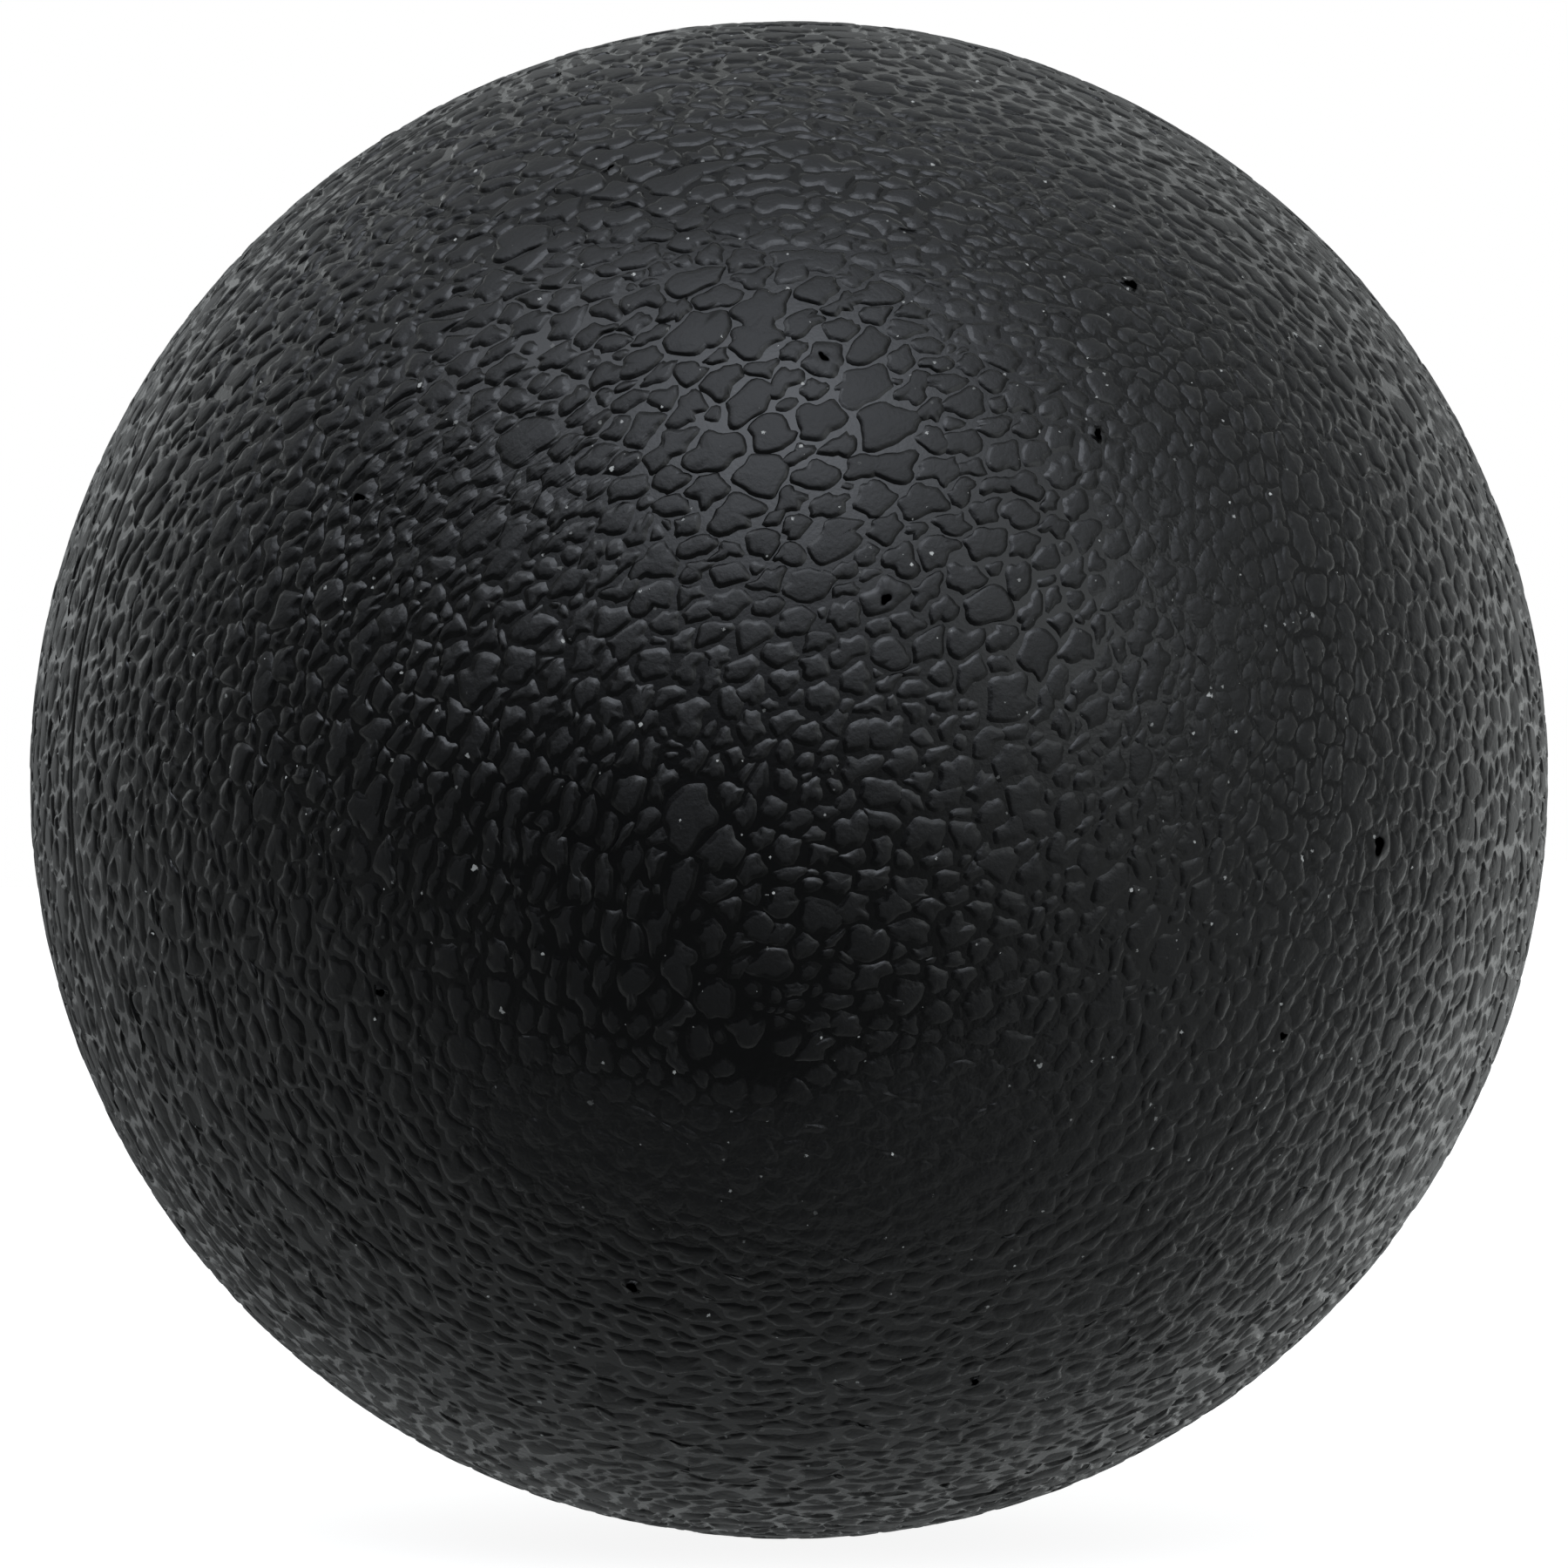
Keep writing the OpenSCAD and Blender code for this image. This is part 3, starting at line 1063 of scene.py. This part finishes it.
def cover_rubber(skin):
    """Satin black rubber with duller pebble tops, a fine skin, specks of dust and a few
    scraped places. A pinhole's bottom gets painted shade: black, with no gloss."""
    material, tree = new_material("cover_rubber")
    where = node(tree, "TexCoord")["Object"]
    skin = node(tree, "Group", node_tree=skin)
    top = carried(tree, "grain_top")
    amount = math_node(tree, "MULTIPLY", carried(tree, "dust"), DUST_SHARE)
    dust = math_node(tree, "MAXIMUM", specks(tree, where, *COARSE_DUST, amount),
                     specks(tree, where, *FINE_DUST, amount))
    # Painted shade: the bottom of a pinhole is made black and loses its gloss.
    pit_shade = node(tree, "MapRange", {
        "Value": carried(tree, "pit_shade"), "From Min": PIT_SHADE_FROM, "From Max": PIT_SHADE_TO})["Result"]
    colour = mixed_colours(tree, top, CHANNEL_COLOUR, TOP_COLOUR)
    colour = mixed_colours(tree, dust, colour, DUST_COLOUR)
    # Painted shade at the bottom of a pinhole.
    colour = mixed_colours(tree, pit_shade, colour, PIT_SHADE_BLACK)
    rough = node(tree, "MapRange", {
        "Value": top, "From Min": ROUGH_FROM, "From Max": ROUGH_TO,
        "To Min": CHANNEL_ROUGH, "To Max": TOP_ROUGH}, interpolation_type="SMOOTHSTEP")
    rough = math_node(tree, "MULTIPLY_ADD", skin["Cloud"], CLOUD_ROUGH, rough["Result"])
    tone = carried(tree, "pebble_tone")
    rough = math_node(tree, "MULTIPLY_ADD", tone, TONE_ROUGH, rough)
    normal = bumped(tree, LUMP_RELIEF, carried(tree, "weak_grain"), skin["Lumps"])
    normal = bumped(tree, STREAK_RELIEF, carried(tree, "streaks"),
                    streak_height(tree, where), Normal=normal)
    strength = math_node(tree, "MULTIPLY_ADD", top, SKIN_MORE_ON_TOPS, SKIN_IN_CHANNELS)
    rubber_shader(tree, {
        "Base Color": colour,
        "Roughness": math_node(tree, "MAXIMUM", rough, dust),
        "Specular IOR Level": math_node(tree, "MULTIPLY_ADD", pit_shade, -FULL_GLOSS, FULL_GLOSS),
        "Normal": bumped(tree, SKIN_RELIEF, strength, skin["Height"], Normal=normal)})
    return material


def core_rubber(skin):
    """Matte pressed rubber of the core, with the same skin, coarser and duller."""
    material, tree = new_material("core_rubber")
    skin = node(tree, "Group", node_tree=skin)
    rubber_shader(tree, {
        "Base Color": CORE_COLOUR,
        "Roughness": math_node(tree, "MULTIPLY_ADD", skin["Cloud"], CORE_CLOUD, CORE_ROUGH),
        "Normal": bumped(tree, CORE_RELIEF, SKIN_ON_CORE, skin["Height"])})
    return material


rubber_skin = skin_group()
rubber = cover_rubber(rubber_skin)
for piece in cover_pieces:
    piece.data.materials.append(rubber)
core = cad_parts["core"]
core.data.materials.clear()
core.data.materials.append(core_rubber(rubber_skin))
print("pieces with the cover's rubber:", len(cover_pieces))

# %% [markdown]
# ## The room's light
# Black rubber shows little colour of its own: what the eye sees is the room, mirrored
# in every pebble. So the light is made to match the shading in the photograph: a plain
# level that is higher towards the ground, less a round dark patch on the camera's side,
# plus six soft glows, a large one above, one on either side and three behind. All of it
# is the world's own light, which leaves no hard lamp shapes in the gloss. Directions
# are angles from the line to the camera, to the right and up.

# %% The room's light
ROOM_LEVEL = 0.100
BELOW_LEVEL = 0.343
BELOW_FROM, BELOW_TO = 0.0, -0.3
ROOM_TINT = (0.965, 1.01, 1.02)
DARK_AT = (-14.9, -25.3)
DARK_INNER, DARK_OUTER = 17.6, 69.1
DARK_LEVEL = 0.22
STRAIGHT_UP = (0.0, 90.0)
GLOWS = [
    # right, up, width (all in degrees), strength, tint
    (-2.0, 56.0, 17.6, 3.062, (0.93, 0.985, 1.085)),
    (-75.6, 57.4, 10.2, 1.602, (0.94, 0.99, 1.07)),
    (48.2, 21.1, 16.2, 1.098, (0.96, 1.01, 1.03)),
    (136.1, -8.1, 18.4, 1.042, (0.98, 1.01, 1.00)),
    (153.9, 38.8, 21.7, 0.710, (0.97, 1.01, 1.01)),
    (-139.8, 18.9, 17.4, 1.030, (0.97, 1.01, 1.02)),
]


def room_direction(right, up):
    """Direction at angles in degrees to the right of the camera, as the camera sees it,
    and up from it."""
    a, e = math.radians(right), math.radians(up)
    return (math.sin(a) * math.cos(e) * CAMERA_RIGHT + math.sin(e) * CAMERA_UP
            + math.cos(a) * math.cos(e) * TOWARDS_CAMERA)


def glow(tree, where, right, up, width, strength, tint):
    """Colour of a soft glow: its tint times strength times e to the power of the
    cosine less one, over the width squared."""
    sharpness = 1 / math.radians(width) ** 2
    facing = along_axis(tree, where, room_direction(right, up))
    power = math_node(tree, "MULTIPLY_ADD", facing, sharpness, -sharpness)
    return scaled(tree, tuple(strength * t for t in tint), math_node(tree, "EXPONENT", power))


def studio_world():
    """The room's light for the ball and the floor, and plain white for the camera."""
    world = bpy.data.worlds.new("studio")
    bpy.context.scene.world = world
    world.use_nodes = True
    tree = world.node_tree
    tree.nodes.clear()
    where = node(tree, "TexCoord")["Generated"]
    dim = node(tree, "MapRange", {
        "Value": along_axis(tree, where, room_direction(*DARK_AT)),
        "From Min": math.cos(math.radians(DARK_OUTER)),
        "From Max": math.cos(math.radians(DARK_INNER)),
        "To Min": 1.0, "To Max": DARK_LEVEL}, interpolation_type="SMOOTHSTEP")
    level = node(tree, "MapRange", {
        "Value": along_axis(tree, where, room_direction(*STRAIGHT_UP)),
        "From Min": BELOW_FROM, "From Max": BELOW_TO,
        "To Min": ROOM_LEVEL, "To Max": BELOW_LEVEL})
    plain = math_node(tree, "MULTIPLY", dim["Result"], level["Result"])
    total = scaled(tree, ROOM_TINT, plain)
    for row in GLOWS:
        total = node(tree, "VectorMath", {0: total, 1: glow(tree, where, *row)},
                     operation="ADD")["Vector"]
    room = node(tree, "Background", {"Color": total})
    white = node(tree, "Background", {"Color": WHITE})
    to_camera = node(tree, "LightPath")["Is Camera Ray"]
    node(tree, "OutputWorld", {"Surface": mixed_shaders(
        tree, to_camera, room["Background"], white["Background"])})


studio_world()
print("glows in the room:", len(GLOWS))

# %% [markdown]
# ## Floor
# The photograph's ground is pure white, and a floor lit to white would flood the ball
# with light. So the floor is pale for the light that it throws back. To the camera it
# is its own white plus some of the light that falls on it, which keeps the ball's soft
# shadow. The ball's reflections look through it to the lower half of the room.

# %% Floor
FLOOR_HALF = 0.6
FLOOR_PALE = (0.42, 0.43, 0.43, 1)
FLOOR_SHADOW = (0.35, 0.35, 0.35, 1)
FLOOR_WHITE = 0.90
CORNERS = [(-1, -1), (1, -1), (1, 1), (-1, 1)]


def white_floor():
    """A square floor at the height of the ball's lowest point."""
    mesh = bpy.data.meshes.new("floor")
    mesh.from_pydata([(x * FLOOR_HALF, y * FLOOR_HALF, cad_low.z) for x, y in CORNERS],
                     [], [(0, 1, 2, 3)])
    floor = bpy.data.objects.new("floor", mesh)
    bpy.context.collection.objects.link(floor)
    material, tree = new_material("floor_white")
    ray = node(tree, "LightPath")
    paint = node(tree, "BsdfDiffuse", {"Color": FLOOR_PALE})["BSDF"]
    lit = node(tree, "BsdfDiffuse", {"Color": FLOOR_SHADOW})["BSDF"]
    own = node(tree, "Emission", {"Color": WHITE, "Strength": FLOOR_WHITE})
    seen = node(tree, "AddShader", {0: lit, 1: own["Emission"]})
    floor_shader = mixed_shaders(tree, ray["Is Camera Ray"], paint, seen["Shader"])
    through = node(tree, "BsdfTransparent")["BSDF"]
    node(tree, "OutputMaterial", {
        "Surface": mixed_shaders(tree, ray["Is Glossy Ray"], floor_shader, through)})
    mesh.materials.append(material)


white_floor()

# %% [markdown]
# ## Camera
# The ball fills the photograph's frame, and it lies a little off its middle. The lens
# follows from how large the ball is in the frame, and a small shift moves its centre to
# the right pixel without turning the camera.

# %% Camera
SENSOR_MM = 36.0
CLIP_NEAR, CLIP_FAR = 0.01, 20.0


def photo_camera():
    """The camera, turned to the ball's centre. Its lens is half the sensor over the
    tangent of half the angle that it takes in."""
    data = bpy.data.cameras.new("camera")
    camera = bpy.data.objects.new("camera", data)
    bpy.context.collection.objects.link(camera)
    bpy.context.scene.camera = camera
    edge = math.asin(BALL_R * MM / CAMERA_DISTANCE)
    half_view = math.tan(edge) * (PHOTO_SIDE_PX / 2) / BALL_RADIUS_PX
    data.sensor_fit = "AUTO"
    data.sensor_width = SENSOR_MM
    data.lens = SENSOR_MM / 2 / half_view
    data.shift_x = (PHOTO_SIDE_PX / 2 - BALL_CENTRE_PX[0]) / PHOTO_SIDE_PX
    data.shift_y = (BALL_CENTRE_PX[1] - PHOTO_SIDE_PX / 2) / PHOTO_SIDE_PX
    data.clip_start, data.clip_end = CLIP_NEAR, CLIP_FAR
    camera.location = Vector(TOWARDS_CAMERA * CAMERA_DISTANCE)
    camera.rotation_mode = "QUATERNION"
    camera.rotation_quaternion = Vector(TOWARDS_CAMERA).to_track_quat("Z", "Y")
    print("lens mm:", round(data.lens, 1))


photo_camera()
bpy.context.scene.view_settings.view_transform = "Standard"
